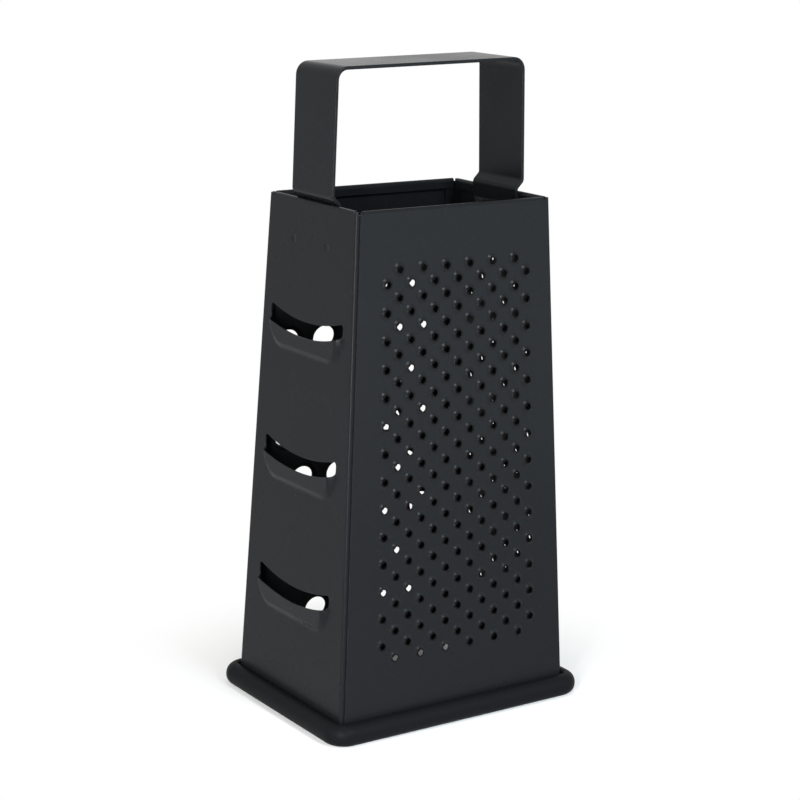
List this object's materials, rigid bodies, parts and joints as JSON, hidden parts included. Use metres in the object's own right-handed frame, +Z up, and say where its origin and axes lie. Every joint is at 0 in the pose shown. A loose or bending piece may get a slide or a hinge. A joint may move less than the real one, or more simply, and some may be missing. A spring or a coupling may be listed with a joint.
{
  "type": "box grater",
  "caption": "Four-sided tapered kitchen grater of thin coated sheet with slicing, fine, coarse and zesting walls, a strap handle on top and a soft base ring.",
  "frame": {"origin": "centre of the footprint, on the surface the grater stands on", "axes": "+Z up through the handle; the fine wall faces -Y, the slicing wall -X, the coarse wall +Y and the zesting wall +X"},
  "size_m": [0.116, 0.0882, 0.248],
  "materials": {
    "coated_steel": "satin",
    "base_rubber": "matte"
  },
  "bodies": {
    "root": {"fine_wall": "coated_steel", "coarse_wall": "coated_steel", "slicing_wall": "coated_steel", "zesting_wall": "coated_steel", "handle_strap": "coated_steel", "base_ring": "base_rubber"}
  },
  "joints": []
}
